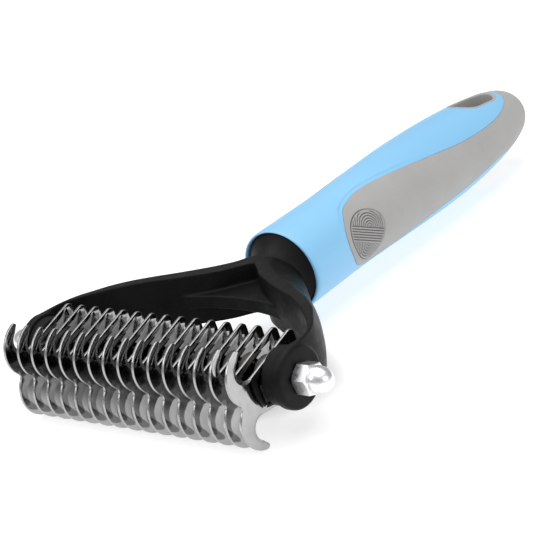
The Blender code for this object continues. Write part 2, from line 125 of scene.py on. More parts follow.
NECK_PROFILE = ((42.0, 0), (42.6, 3.6), (44.0, 6.6), (46.0, 7.8), (48.0, 8.3), (49.6, 9.0), (51.2, 10.2),
                (52.5, 11.6), (53.2, 12.2), (54.0, 12.25), (54.9, 12.25), (54.9, 0))
FORK_LEVELS = 25
FORK_VOXEL = 0.32 * MM

# Handle: station along Y, half height, rise of the section's centre (millimetres)
HANDLE_STATIONS = ((52.2, 12.4, 0.75), (53.2, 12.9, 0.75), (64, 12.8, 0.75), (80, 12.7, 0.75), (98, 13.1, 0.7),
                   (114, 13.4, 0.5), (130, 13.2, 0.2), (145, 12.3, 0), (157, 10.9, 0), (166, 8.9, 0),
                   (170.5, 6.9, 0), (173.2, 4.2, 0), (174, 1.6, 0))
SECTION_WIDTH = 1.06
SECTION_HEIGHT = 0.98
SECTION_SPACING = 0.55 * MM
SECTION_SIDES = 168
MOUTH_FLOOR_Y = 55.1 * MM
MOUTH_RADIUS = 12.1 * MM
MOUTH_OVAL = 0.15 * MM                # how much less high than wide the mouth is, on each side
MOUTH_CORNER = 0.3 * MM
LIP_END_Y = 53.5 * MM
MOUTH_END_Y = 60 * MM                 # the panel and its band start behind this
LIP = ((53.2, 0.0), (52.75, 0.03), (52.45, 0.12), (52.28, 0.26), (52.2, 0.45), (52.27, 0.65), (52.48, 0.82),
       (52.85, 0.94))                 # (y in millimetres, share of the way from the mouth to the outside)
PANEL_LOWER = ((170, -16), (166.0, -11.0), (161.5, -7.4), (149, -6.0), (132, -6.9), (114, -7.6),
               (100, -8.4), (85, -8.6), (73.4, -7.0), (69.0, -1.0))
PANEL_UPPER = ((69.1, 5.0), (73.6, 9.8), (80, 11.3), (87.5, 11.7), (99.2, 11.0), (113, 9.4), (132, 6.9),
               (149, 6.0), (161.5, 7.4), (166.0, 11.0), (170, 16))
PANEL_END_Y = 182
RECESS = 1.2 * MM                     # how deep the soft panel is let into the core
SKIN = 1.05 * MM
CORE_RIM = 0.12 * MM                  # rounding of the core's rim along the panel
PANEL_RIM = 0.15 * MM
SOFT_RIM = 0.3 * MM                   # rounding round the pads and the hanging hole
RIM_BREAK = 0.12 * MM                 # a second line of points within a soft rim
RECESS_WALL = 0.04 * MM               # width of the steep wall down into the recess
PANEL_PROUD = 0.02 * MM               # how far each soft part stands out of the form
PAD_PROUD = 0.03 * MM
LINING_PROUD = 0.05 * MM
SEAM = 0.02 * MM                      # half the gap between panel and core
LAND = 1.35 * MM                      # width of the lowered band round the panel
LAND_RAMP = 0.35 * MM
LAND_DEPTH = 0.2 * MM
LAND_END_Y = (95 * MM, 125 * MM)      # it fades out between these
PAD_CENTRE = (77.9 * MM, 0.9 * MM)
PAD_HALF = (7.5 * MM, 7.3 * MM)
PAD_EGG = 0.16                        # how much wider its top is, as a share
PAD_GRID = 0.11 * MM
PAD_GROOVE = 0.06 * MM                # how far the pad keeps in from its edge
RIDGE_PITCH = 0.76 * MM
RIDGE_TILT = radians(-28)
RIDGE_DEPTH = 0.4 * MM
RIDGE_ARCS = (2.4 * MM, -2.2 * MM)    # centres of the upper and lower arcs, over the pad's middle
PAINTED_SHADE_ATTRIBUTE = "groove_shade"                     # vertex attribute: how far down in a groove, from 0 to 1, which sets the painted shade there
# colour of the painted shade deep in the grooves
GROOVE_PAINTED_SHADE_COLOUR = (0.07, 0.069, 0.066, 1)
HANG_CENTRE_Y = 154.0 * MM
HANG_LENGTH = 16.0 * MM
HANG_WIDTH = 9.6 * MM
HANG_LINING = 1.3 * MM
HANG_THROAT = 1.0 * MM

# Studio
# painted shadow on the floor: the glow fades out in a soft patch under the fork
PAINTED_SHADOW_CENTRE = Vector((-8, 19, 0)) * MM
PAINTED_SHADOW_HALF = (51 * MM, 27 * MM)
TABLE_GLOW = 0.66
TABLE_SIZE = 6.0
TABLE_DROP = 0.2 * MM
WORLD_STRENGTH = 0.38
LIGHTS = (("overhead", (-0.1, 0.0, 1.2), (0, 0, 0), (1.5, 1.5), 15.0),
          ("front_left", (-0.5, -0.7, 0.55), (0, 0, 0), (0.5, 0.4), 1.6),
          ("right", (1.0, -0.15, 0.5), (0, 0.03, 0), (0.9, 0.6), 2.6))

WELD = 1e-7                           # points nearer than this are one point

SEED = 7


# ---------------------------------------------------------------- curves and meshes

def arc(centre, radius, start, end, steps):
    turns = [start + (end - start) * i / steps for i in range(steps + 1)]
    return [(centre[0] + radius * cos(t), centre[1] + radius * sin(t)) for t in turns]


def circle(radius, sides):
    return arc((0, 0), radius, 0, 2 * pi * (sides - 1) / sides, sides - 1)


def smooth_path(points, steps):
    """Catmull-Rom points through an open run of control points, as an array."""
    points = np.array(points, float)
    controls = np.vstack([points[:1], points, points[-1:]])
    t = (np.arange(steps) / steps)[:, None]
    runs = []
    for a, b, c, d in zip(controls, controls[1:], controls[2:], controls[3:]):
        runs.append(0.5 * (2 * b + (c - a) * t + (2 * a - 5 * b + 4 * c - d) * t ** 2
                           + (3 * b - a - 3 * c + d) * t ** 3))
    return np.vstack(runs + [points[-1:]])


def smooth_step(x, low, high):
    t = np.clip((x - low) / (high - low), 0, 1)
    return t * t * (3 - 2 * t)


def rolled(distance, radius):
    """How far a rounded edge has dropped at a distance in from its border."""
    inward = np.clip(distance, 0, radius)
    return radius - np.sqrt(np.maximum(radius ** 2 - (radius - inward) ** 2, 0))


def mirrored(half):
    """A closed outline from its right half."""
    return list(half) + [(-x, y) for x, y in reversed(half) if x > 0]


def welded(mesh, reach=WELD):
    """The same mesh with its close points merged, and its faces all looking outward."""
    work = bmesh.new()
    work.from_mesh(mesh)
    if reach:
        bmesh.ops.remove_doubles(work, verts=work.verts, dist=reach)
    bmesh.ops.recalc_face_normals(work, faces=work.faces)
    work.to_mesh(mesh)
    work.free()
    return mesh


def mesh_of(name, points, faces):
    mesh = bpy.data.meshes.new(name)
    mesh.from_pydata([tuple(p) for p in points], [], faces)
    return welded(mesh, None)


def lofted(name, rings, capped=False):
    """A skin over closed rings of points, with or without end faces."""
    rings = list(rings)
    sides = len(rings[0])
    faces = ring_faces(len(rings), sides)
    if capped:
        last = (len(rings) - 1) * sides
        faces += [tuple(range(sides)), tuple(range(last, last + sides))]
    return mesh_of(name, [p for ring in rings for p in ring], faces)


def ring_faces(rings, sides):
    """Quads between neighbouring rings of a grid, wrapped round."""
    faces = []
    for level in range(rings - 1):
        low, high = level * sides, (level + 1) * sides
        faces += [(low + i, low + (i + 1) % sides, high + (i + 1) % sides, high + i) for i in range(sides)]
    return faces


def turned(name, profile, sides, axis="Z"):
    """A solid of revolution from (radius, height) points, closed at both ends or into a ring."""
    turns = [2 * pi * i / sides for i in range(sides)]
    mesh = welded(lofted(name, [[(r * cos(t), r * sin(t), z) for t in turns] for r, z in profile]))
    if axis == "X":
        mesh.transform(Matrix.Rotation(pi / 2, 4, "Y"))
    if axis == "Y":
        mesh.transform(Matrix.Rotation(-pi / 2, 4, "X"))
    return mesh


def rounded_rim(radius, height, edge, sign, steps=5):
    """Profile points of a rounded outer rim at a height: sign +1 is the upper rim, -1 the lower."""
    turns = [i * pi / 2 / steps for i in range(steps + 1)]
    points = [(radius - edge + edge * sin(t), height + sign * (edge * cos(t) - edge)) for t in turns]
    return points if sign > 0 else list(reversed(points))


def evaluated(item):
    bpy.context.view_layer.update()
    graph = bpy.context.evaluated_depsgraph_get()
    return bpy.data.meshes.new_from_object(item.evaluated_get(graph))


def holder(name, data):
    item = bpy.data.objects.new(name, data)
    bpy.context.scene.collection.objects.link(item)
    return item


def plate(name, outline, thickness, edge):
    """A flat plate with rounded rims from a closed outline in the XY plane."""
    curve = bpy.data.curves.new(name, "CURVE")
    curve.dimensions = "2D"
    curve.fill_mode = "BOTH"
    curve.extrude = thickness / 2 - edge
    curve.bevel_depth = edge
    curve.bevel_resolution = 3
    curve.offset = -edge
    spline = curve.splines.new("POLY")
    spline.points.add(len(outline) - 1)
    for point, (x, y) in zip(spline.points, outline):
        point.co = (x, y, 0, 1)
    spline.use_cyclic_u = True
    item = holder(name, curve)
    mesh = evaluated(item)
    bpy.data.objects.remove(item, do_unlink=True)
    return welded(mesh, 10 * WELD)


def combined(name, base, tools, solver="EXACT"):
    """The base mesh after boolean tools, given as (operation, mesh)."""
    item = holder(name, base)
    helpers = []
    for index, (operation, mesh) in enumerate(tools):
        tool = holder(f"{name}_tool_{index}", mesh)
        helpers.append(tool)
        modifier = item.modifiers.new(f"tool_{index}", "BOOLEAN")
        modifier.operation = operation
        modifier.object = tool
        modifier.solver = solver
    result = evaluated(item)
    for helper in helpers + [item]:
        bpy.data.objects.remove(helper, do_unlink=True)
    return result


def remeshed(name, mesh, voxel, rounds):
    """The mesh rebuilt in even small faces, its edges and inner corners eased."""
    item = holder(name, mesh)
    remesh = item.modifiers.new("even_faces", "REMESH")
    remesh.mode = "VOXEL"
    remesh.voxel_size = voxel
    smooth = item.modifiers.new("ease", "SMOOTH")
    smooth.factor = 0.5
    smooth.iterations = rounds
    result = evaluated(item)
    bpy.data.objects.remove(item, do_unlink=True)
    return result


def piece(name, mesh, materials, slot, body, *nodes, angle=35):
    """A finished piece in the frame: shaded, riding a body and standing for CAD nodes."""
    item = holder(name, mesh)
    item.matrix_world = TO_FRAME @ item.matrix_world
    indices = [polygon.material_index for polygon in mesh.polygons]
    mesh.materials.clear()
    for material in materials:
        mesh.materials.append(material)
    if len(materials) > 1:
        mesh.polygons.foreach_set("material_index", indices)
    mesh.shade_smooth()
    if angle:
        mesh.set_sharp_from_angle(angle=radians(angle))
    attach(item, body)
    if nodes:
        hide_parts(*nodes)
    return item


# ---------------------------------------------------------------- materials

def shader_material(name, colour, roughness, metallic=0.0):
    material = bpy.data.materials.new(name)
    material.use_nodes = True
    shader = material.node_tree.nodes["Principled BSDF"]
    shader.inputs["Base Color"].default_value = (*colour, 1.0)
    shader.inputs["Roughness"].default_value = roughness
    shader.inputs["Metallic"].default_value = metallic
    return material, shader


def link(material, source, socket):
    material.node_tree.links.new(source, socket)


def node_of(material, kind, **constants):
    """A new node; each constant is set on the input of that name, underscores for spaces."""
    node = material.node_tree.nodes.new(f"ShaderNode{kind}")
    for name, value in constants.items():
        node.inputs[name.replace("_", " ")].default_value = value
    return node


def mapped(material, texture, **constants):
    """The texture's value over the object's own metres, moved and scaled first."""
    place, mapping = node_of(material, "TexCoord"), node_of(material, "Mapping", **constants)
    link(material, place.outputs["Object"], mapping.inputs["Vector"])
    link(material, mapping.outputs["Vector"], texture.inputs["Vector"])
    return texture.outputs["Fac"]


def noise(material, scale, detail=3.0, stretch=(1, 1, 1), roughness=0.5):
    """Noise with scale in features a metre."""
    texture = node_of(material, "TexNoise", Scale=scale, Detail=detail, Roughness=roughness)
    return mapped(material, texture, Scale=stretch)


def ranged(material, source, low, high, out_low, out_high):
    """The source's run from low to high as a run from out_low to out_high."""
    node = node_of(material, "MapRange", From_Min=low, From_Max=high, To_Min=out_low, To_Max=out_high)
    link(material, source, node.inputs["Value"])
    return node.outputs["Result"]


def mixed(material, factor, colours, blend="MIX"):
    """Two colours mixed; the factor and either colour may be a value or another node's output."""
    node = node_of(material, "Mix")
    node.data_type = "RGBA"
    node.blend_type = blend
    sockets = [node.inputs["Factor"]] + [socket for socket in node.inputs if socket.type == "RGBA"]
    for socket, given in zip(sockets, (factor, *colours)):
        if isinstance(given, bpy.types.NodeSocket):
            link(material, given, socket)
        else:
            socket.default_value = given
    return next(socket for socket in node.outputs if socket.type == "RGBA")


def tinted(material, source, first, second):
    """A colour that runs from first to second with the source."""
    return mixed(material, source, ((*first, 1.0), (*second, 1.0)))


def bumped(material, shader, layers):
    """Bump from (height source, distance) layers, one feeding the next."""
    previous = None
    for source, distance in layers:
        node = node_of(material, "Bump", Strength=1.0, Distance=distance)
        link(material, source, node.inputs["Height"])
        if previous:
            link(material, previous, node.inputs["Normal"])
        previous = node.outputs["Normal"]
    link(material, previous, shader.inputs["Normal"])


def black_plastic():
    """Glass-filled black nylon: satin, finely textured, a little dust in its grain."""
    material, shader = shader_material("black_plastic", (0.006, 0.006, 0.0058), 0.45)
    cloud = noise(material, 160, 4)
    grain = noise(material, 3600, 2)
    flow = noise(material, 420, 3, (1, 0.35, 1))
    link(material, tinted(material, ranged(material, cloud, 0.35, 0.7, 0, 1),
                          (0.0048, 0.0048, 0.0046), (0.0082, 0.0081, 0.0077)), shader.inputs["Base Color"])
    link(material, ranged(material, flow, 0.3, 0.7, 0.38, 0.52), shader.inputs["Roughness"])
    shader.inputs["Specular IOR Level"].default_value = 0.13
    bumped(material, shader, [(grain, 0.00006), (flow, 0.00005)])
    return material


def spacer_plastic():
    """The spacers' moulded plastic: greyer than the fork and rough from tumbling."""
    material, shader = shader_material("spacer_plastic", (0.05, 0.048, 0.043), 0.5)
    cloud = noise(material, 900, 4)
    grain = noise(material, 3000, 2)
    link(material, tinted(material, ranged(material, cloud, 0.3, 0.7, 0, 1),
                          (0.034, 0.032, 0.028), (0.085, 0.081, 0.073)), shader.inputs["Base Color"])
    shader.inputs["Specular IOR Level"].default_value = 0.6
    bumped(material, shader, [(grain, 0.00006), (cloud, 0.00006)])
    return material


def blue_plastic():
    """Light blue polypropylene: satin gloss with faint moulding flow and a very fine grain."""
    material, shader = shader_material("blue_plastic", (0.245, 0.55, 0.83), 0.36)
    cloud = noise(material, 45, 3, (1, 0.4, 1))
    grain = noise(material, 2600, 2)
    link(material, tinted(material, ranged(material, cloud, 0.3, 0.7, 0, 1),
                          (0.234, 0.535, 0.815), (0.258, 0.565, 0.845)), shader.inputs["Base Color"])
    link(material, ranged(material, cloud, 0.3, 0.7, 0.32, 0.42), shader.inputs["Roughness"])
    bumped(material, shader, [(grain, 0.00002)])
    return material


def grey_rubber():
    """Grey soft-touch rubber: matt, with the fine grain of its mould, and painted shade darkening it down in the
    grooves.
    """
    material, shader = shader_material("grey_soft_plastic", (0.41, 0.405, 0.39), 0.72)
    cloud = noise(material, 90, 4)
    speckle = noise(material, 5200, 2, roughness=0.7)
    grain = noise(material, 3000, 3, roughness=0.65)
    mottle = tinted(material, ranged(material, cloud, 0.3, 0.7, 0, 1), (0.378, 0.374, 0.368), (0.412, 0.408, 0.402))
    specks = tinted(material, ranged(material, speckle, 0.35, 0.65, 0, 1), (0.93, 0.93, 0.93), (1.04, 1.04, 1.04))
    unshaded = mixed(material, 1.0, (mottle, specks), "MULTIPLY")
    groove_shade = node_of(material, "Attribute")
    groove_shade.attribute_name = PAINTED_SHADE_ATTRIBUTE
    # painted shade: the colour darkens the deeper a point lies in a groove
    groove_shaded = mixed(material, ranged(material, groove_shade.outputs["Fac"], 0, 1, 0, 0.85), (unshaded, GROOVE_PAINTED_SHADE_COLOUR))
    link(material, groove_shaded, shader.inputs["Base Color"])
    link(material, ranged(material, grain, 0.3, 0.7, 0.64, 0.8), shader.inputs["Roughness"])
    shader.inputs["Sheen Weight"].default_value = 0.06
    shader.inputs["Sheen Roughness"].default_value = 0.4
    bumped(material, shader, [(grain, 0.00007)])
    return material


def polished_steel():
    """Stainless blade faces: nearly mirrors, with fine polishing lines and faint smears."""
    material, shader = shader_material("blade_steel", (0.43, 0.43, 0.43), 0.08, 1.0)
    lines = noise(material, 900, 3, (1, 5, 1))
    smear = noise(material, 260, 4)
    link(material, tinted(material, ranged(material, smear, 0.35, 0.7, 0, 1),
                          (0.46, 0.46, 0.46), (0.39, 0.39, 0.39)), shader.inputs["Base Color"])
    link(material, ranged(material, smear, 0.3, 0.7, 0.05, 0.12), shader.inputs["Roughness"])
    bumped(material, shader, [(lines, 0.0000015)])
    return material


def cut_steel():
    """The blades' stamped and tumbled edges: less smooth than their faces."""
    material, shader = shader_material("blade_cut_edge", (0.4, 0.4, 0.395), 0.26, 1.0)
    burr = noise(material, 2400, 2)
    link(material, ranged(material, burr, 0.3, 0.7, 0.2, 0.34), shader.inputs["Roughness"])
    bumped(material, shader, [(burr, 0.00002)])
    return material


def bright_zinc():
    """Bright zinc plate: reflective, slightly rippled, with a duller bloom in patches."""
    material, shader = shader_material("bright_zinc", (0.80, 0.81, 0.83), 0.2, 1.0)
    bloom = noise(material, 700, 4)
    ripple = noise(material, 1500, 2)
    link(material, tinted(material, ranged(material, bloom, 0.35, 0.7, 0, 1),
                          (0.93, 0.935, 0.945), (0.80, 0.81, 0.825)), shader.inputs["Base Color"])
    link(material, ranged(material, bloom, 0.3, 0.7, 0.24, 0.4), shader.inputs["Roughness"])
    bumped(material, shader, [(ripple, 0.00001)])
    return material


def light_table():
    """A pale floor that glows evenly, but for a painted shadow under the fork: a soft patch where the glow fades
    out.
    """
    material, shader = shader_material("light_table", (0.52, 0.52, 0.52), 0.9)
    fibre = noise(material, 900, 3)
    link(material, tinted(material, fibre, (0.51, 0.51, 0.51), (0.53, 0.53, 0.53)), shader.inputs["Base Color"])
    shader.inputs["Emission Color"].default_value = (1, 1, 1, 1)
    painted_shadow_patch = node_of(material, "TexGradient")
    painted_shadow_patch.gradient_type = "SPHERICAL"
    centre = ORIGIN + PAINTED_SHADOW_CENTRE
    painted_shadow = mapped(material, painted_shadow_patch, Scale=(1 / PAINTED_SHADOW_HALF[0], 1 / PAINTED_SHADOW_HALF[1], 0),
                   Location=(-centre.x / PAINTED_SHADOW_HALF[0], -centre.y / PAINTED_SHADOW_HALF[1], 0))
    # painted shadow: the glow falls to nothing towards the patch's middle, under the fork
    link(material, ranged(material, painted_shadow, 0.0, 0.4, TABLE_GLOW, 0.0), shader.inputs["Emission Strength"])
    shader.inputs["Specular IOR Level"].default_value = 0.1
    return material


# ---------------------------------------------------------------- blade pack

def blade_outline():
    """The blade's closed outline in (y, z), mirrored about z = 0, and each point's share of the grind."""
    hook_y, hook_z = HOOK_CENTRE
    waist_y = hook_y - sqrt((HOOK_RADIUS + WAIST_FILLET) ** 2 - hook_z ** 2)
    meeting = atan2(hook_z, hook_y - waist_y)
    waist = arc((waist_y, 0), WAIST_FILLET, 0, meeting, 8)
    hook = arc(HOOK_CENTRE, HOOK_RADIUS, pi + meeting, TIP_ANGLE, 44)[1:]
    reach = HOOK_RADIUS - TIP_RADIUS
    tip_centre = (hook_y + reach * cos(TIP_ANGLE), hook_z + reach * sin(TIP_ANGLE))
    tip = arc(tip_centre, TIP_RADIUS, TIP_ANGLE, radians(-15), 12)[1:]
    notch_end = 1.5 * pi + EDGE_SLOPE
    notch = arc(NOTCH_CENTRE, NOTCH_RADIUS, NOTCH_OPEN_ANGLE, notch_end, 28)
    edge_y, edge_z = notch[-1]
    corner_y = REAR_Y - REAR_CORNER_RADIUS
    corner_z = edge_z + tan(EDGE_SLOPE) * (corner_y - edge_y) - REAR_CORNER_RADIUS / cos(EDGE_SLOPE)
    corner = arc((corner_y, corner_z), REAR_CORNER_RADIUS, pi / 2 + EDGE_SLOPE, 0, 10)
    upper = waist + hook + tip + notch + corner
    closed = np.array(upper + [(y, -z) for y, z in reversed(upper) if z > 0])
    first, last = len(waist + hook + tip) - GRIND_LEAD, len(waist + hook + tip + notch) - 1
    share = np.clip((np.arange(len(closed)) - first) / (last - first), 0, 1)
    grind = np.sin(pi * share) ** GRIND_FADE
    return closed, grind + np.concatenate([grind[:1], grind[:0:-1]])


def blade_mesh(name):
    """One blade in (x, y, z): flat faces, rounded rims, and a ground bevel round each fur notch."""
    outline, grind = blade_outline()
    bore = np.array(circle(BORE_RADIUS, 48))
    half = BLADE_THICKNESS / 2
    work = bmesh.new()
    caps = {-1: [], 1: []}
    for ring, share in ((outline, grind), (bore[::-1], np.zeros(len(bore)))):
        ahead, behind = np.roll(ring, -1, axis=0) - ring, ring - np.roll(ring, 1, axis=0)
        along = ahead / np.linalg.norm(ahead, axis=1)[:, None] + behind / np.linalg.norm(behind, axis=1)[:, None]
        inward = np.stack([along[:, 1], -along[:, 0]], 1) / np.linalg.norm(along, axis=1)[:, None]
        width = np.maximum(GRIND_WIDTH * share, BLADE_EDGE)
        levels = []
        for side in (-1, 1):
            for turn in np.linspace(0, pi / 2, 4):
                inset, drop = BLADE_EDGE * (1 - cos(turn)), BLADE_EDGE * (1 - sin(turn))
                cut = GRIND_DEPTH * share * (1 - inset / width) if side > 0 else 0 * share
                levels.append((side, np.full(len(ring), inset), np.maximum(drop, cut)))
        levels = levels[3::-1] + levels[4:] + [(1, width, 0 * share)]
        rows = []
        for side, inset, drop in levels:
            places = ring + inward * inset[:, None]
            rows.append([work.verts.new((side * (half - d), y, z)) for (y, z), d in zip(places, drop)])
        for low, high in zip(rows, rows[1:]):
            for i in range(len(ring)):
                j = (i + 1) % len(ring)
                work.faces.new((low[i], low[j], high[j], high[i])).material_index = 1
        for side, row in ((-1, rows[0]), (1, rows[-1])):
            caps[side] += [work.edges.get((row[i - 1], row[i])) for i in range(len(row))]
    for side, edges in caps.items():
        bmesh.ops.triangle_fill(work, edges=edges, use_beauty=True, normal=(side, 0, 0))
        for edge in edges:
            edge.smooth = False
    bmesh.ops.remove_doubles(work, verts=work.verts, dist=WELD)
    return finished_mesh(name, work)


def sleeve(name, radius, length, edge, sides):
    """A tube along X with rounded outer rims, bored for the rod."""
    half = length / 2
    profile = [(BORE_RADIUS, half), *rounded_rim(radius, half, edge, 1), *rounded_rim(radius, -half, edge, -1),
               (BORE_RADIUS, -half), (BORE_RADIUS, half)]
    return turned(name, profile, sides, "X")


def build_blades(steel, cut, spacer):
    chance = np.random.default_rng(SEED)
    stand = Matrix.Rotation(PACK_TILT, 4, "X")
    half_span = (BLADE_COUNT - 1) / 2
    for index in range(BLADE_COUNT):
        x = (index - half_span) * BLADE_PITCH
        mesh = blade_mesh(f"blade_{index + 1:02d}_steel")
        lean = Matrix.Rotation(radians(chance.uniform(-BLADE_LEAN, BLADE_LEAN)), 4, "X")
        mesh.transform(Matrix.Translation((x, 0, 0)) @ lean @ stand)
        piece(mesh.name, mesh, [steel, cut], "blade_steel", "blade_pack", f"blade_{index + 1:02d}", angle=None)
    length = BLADE_PITCH - BLADE_THICKNESS - 2 * GAP
    for index in range(BLADE_COUNT - 1):
        mesh = sleeve(f"spacer_{index + 1:02d}_tube", SPACER_RADIUS, length, SPACER_EDGE, 48)
        mesh.transform(Matrix.Translation(((index - half_span + 0.5) * BLADE_PITCH, 0, 0)))
        piece(mesh.name, mesh, [spacer], "black_plastic", "blade_pack", f"spacer_{index + 1:02d}")


# ---------------------------------------------------------------- rod, collars, cap nuts

def build_rod(zinc):
    """The threaded rod: a true single-start helix, its ends chamfered."""
    sides, per_pitch = 32, 8
    count = int(2 * ROD_END_X / THREAD_PITCH * per_pitch)
    rings = []
    for level in range(count + 1):
        x = -ROD_END_X + 2 * ROD_END_X * level / count
        taper = max(0.0, ROD_CHAMFER - (ROD_END_X - abs(x)))
        ring = []
        for i in range(sides):
            phase = (x / THREAD_PITCH - i / sides) % 1.0
            radius = ROD_RADIUS - THREAD_DEPTH * (1 - abs(2 * phase - 1)) - taper
            turn = 2 * pi * i / sides
            ring.append((x, radius * cos(turn), radius * sin(turn)))
        rings.append(ring)
    mesh = lofted("threaded_rod_zinc", rings, capped=True)
    piece(mesh.name, mesh, [zinc], "bright_zinc", "handle_and_fork", "threaded_rod", angle=40)


def build_collars(black):
    pack_end = (BLADE_COUNT - 1) / 2 * BLADE_PITCH + BLADE_THICKNESS / 2
    length = ARM_INNER_X - pack_end - 2 * COLLAR_GAP
    for name, side in (("right_end_collar", 1), ("left_end_collar", -1)):
        mesh = sleeve(f"{name}_ring", COLLAR_RADIUS, length, COLLAR_EDGE, 72)
        mesh.transform(Matrix.Translation((side * (pack_end + ARM_INNER_X) / 2, 0, 0)))
        piece(mesh.name, mesh, [black], "black_plastic", "handle_and_fork", name)


def cap_nut_mesh(name):
    """A chamfered hexagon with a domed end and a blind bore, its seat at z = 0."""
    corner = NUT_FLATS / 2 / cos(pi / 6)
    hexagon = turned(name, [(0, NUT_HEX_HEIGHT), (corner, NUT_HEX_HEIGHT), (corner, 0), (0, 0)], 6)
    wide = corner + 0.2 * MM
    cone = [(0, NUT_HEX_HEIGHT + NUT_CHAMFER), (NUT_FLATS / 2 - 0.1 * MM, NUT_HEX_HEIGHT + 0.02 * MM),
            (wide, NUT_HEX_HEIGHT - NUT_CHAMFER), (wide, NUT_CHAMFER), (NUT_FLATS / 2, -0.02 * MM),
            (0, -NUT_CHAMFER)]
    neck_z, neck_radius = NUT_HEX_HEIGHT + 0.7 * MM, NUT_DOME_RADIUS - 0.12 * MM
    sunk_z = NUT_HEX_HEIGHT - (NUT_HEIGHT - NUT_HEX_HEIGHT) / 3
    dome = [(NUT_DOME_RADIUS * sin(t), neck_z + (NUT_HEIGHT - neck_z) * cos(t))
            for t in np.linspace(0, pi / 2, 18)]
    dome += [(neck_radius, NUT_HEX_HEIGHT), (neck_radius, sunk_z), (0, sunk_z)]
    inside, mouth = BORE_RADIUS - 0.2 * MM, BORE_RADIUS + 0.3 * MM
    bore = [(0, NUT_BORE_DEPTH), (inside, NUT_BORE_DEPTH - MM), (inside, 0.4 * MM), (mouth, -0.1 * MM),
            (mouth, -MM), (0, -MM)]
    tools = [("INTERSECT", turned("cone", cone, 96)), ("UNION", turned("dome", dome, 96)),
             ("DIFFERENCE", turned("bore", bore, 48))]
    return combined(name, hexagon, tools)


def build_cap_nuts(zinc):
    for side, word in ((1, "right"), (-1, "left")):
        mesh = cap_nut_mesh(f"{word}_cap_nut_zinc")
        mesh.transform(Matrix.Rotation(NUT_TURN, 4, "Z"))
        mesh.transform(Matrix.Rotation(side * pi / 2, 4, "Y"))
        mesh.transform(Matrix.Translation((side * (ARM_OUTER_X + GAP), 0, 0)))
        piece(f"{word}_cap_nut_zinc", mesh, [zinc], "bright_zinc", f"{word}_cap_nut", f"{word}_cap_nut",
              angle=24)


# ---------------------------------------------------------------- fork

def fork_walls():
    """Plan outlines lofted through the height: thickest at mid height, drawn in to both crests."""
    steps = 6
    inner_middle, inner_crest = (smooth_path(p, steps) * MM for p in (INNER_MIDDLE, INNER_CREST))
    outer_middle, outer_crest = (smooth_path(p, steps) * MM for p in (OUTER_MIDDLE, OUTER_CREST))
    rings = []
    for level in np.linspace(-1, 1, FORK_LEVELS):
        inner = inner_middle + (inner_crest - inner_middle) * abs(level)
        outer = outer_middle + (outer_crest - outer_middle) * level * level
        z = FORK_RISE + level * FORK_HALF_HEIGHT
        rings.append([(x, y, z) for x, y in mirrored(np.vstack([inner, outer]))])
    return lofted("fork_walls", rings, capped=True)


def arm_end(side):
    """The round end of one arm."""
    profile = [(0, ARM_OUTER_X), *rounded_rim(DISC_RADIUS, ARM_OUTER_X, ARM_EDGE, 1), (DISC_RADIUS, ARM_INNER_X),
               (0, ARM_INNER_X)]
    mesh = turned("arm_end", profile, 72)
    mesh.transform(Matrix.Rotation(side * pi / 2, 4, "Y"))
    return mesh


def fork_mesh():
    outline = mirrored([(x * MM, y * MM) for x, y in WEB_OUTLINE])
    web = plate("fork_web", outline, 2 * WEB_HALF_HEIGHT, WEB_EDGE)
    web.transform(Matrix.Translation((0, 0, FORK_RISE)))
    profile = smooth_path(NECK_PROFILE[:-1], 5) * MM
    neck = turned("fork_neck", [(r, y) for y, r in profile] + [(0, NECK_PROFILE[-1][0] * MM)], 96, "Y")
    neck.transform(Matrix.Translation((0, 0, FORK_RISE)))
    solid = combined("fork_solid", fork_walls(), [("UNION", web), ("UNION", neck), ("UNION", arm_end(1)),
                                                  ("UNION", arm_end(-1))], "MANIFOLD")
    return remeshed("fork_black", solid, FORK_VOXEL, 5)


def build_fork(black):
    piece("fork_black", fork_mesh(), [black], "black_plastic", "handle_and_fork", "fork", angle=60)


# ---------------------------------------------------------------- handle

def handle_form():
    """The handle's outer form as a fine table: y, half width, half height, rise."""
    table = smooth_path(HANDLE_STATIONS, 24) * MM
    return table[:, 0], table[:, 1] * SECTION_WIDTH, table[:, 1] * SECTION_HEIGHT, table[:, 2]


FORM = handle_form()


def form_at(y):
    """Half width, half height and rise of the handle's section at each y."""
    return tuple(np.interp(y, FORM[0], column) for column in FORM[1:])


def on_form(points):
    """Points moved onto the handle's outer form at their own y, and its outward normals there."""
    x, y, z = points.T
    across, height, rise = form_at(y)
    turn = np.arctan2((z - rise) / height, x / across)
    placed = np.stack([across * np.cos(turn), y, rise + height * np.sin(turn)], 1)
    across_slope, height_slope, rise_slope = (np.interp(y, FORM[0], np.gradient(c, FORM[0])) for c in FORM[1:])
    up = placed[:, 2] - rise
    normal = np.stack([placed[:, 0] / across ** 2,
                       -placed[:, 0] ** 2 * across_slope / across ** 3 - up * rise_slope / height ** 2
                       - up ** 2 * height_slope / height ** 3,
                       up / height ** 2], 1)
    return placed, normal / np.linalg.norm(normal, axis=1)[:, None]


def side_point(y, z, side):
    """Points of the outer form on one side, at places y, z of the side view."""
    across, height, rise = form_at(y)
    share = np.clip((z - rise) / height, -0.999, 0.999)
    return np.stack([side * across * np.sqrt(1 - share ** 2), y, z], 1)


def panel_outline():
    """The soft panel's closed outline in side view (y, z)."""
    run = smooth_path(PANEL_LOWER + PANEL_UPPER, 8)
    ends = np.array([(PANEL_END_Y, PANEL_UPPER[-1][1]), (PANEL_END_Y, PANEL_LOWER[0][1])])
    return np.vstack([run, ends]) * MM


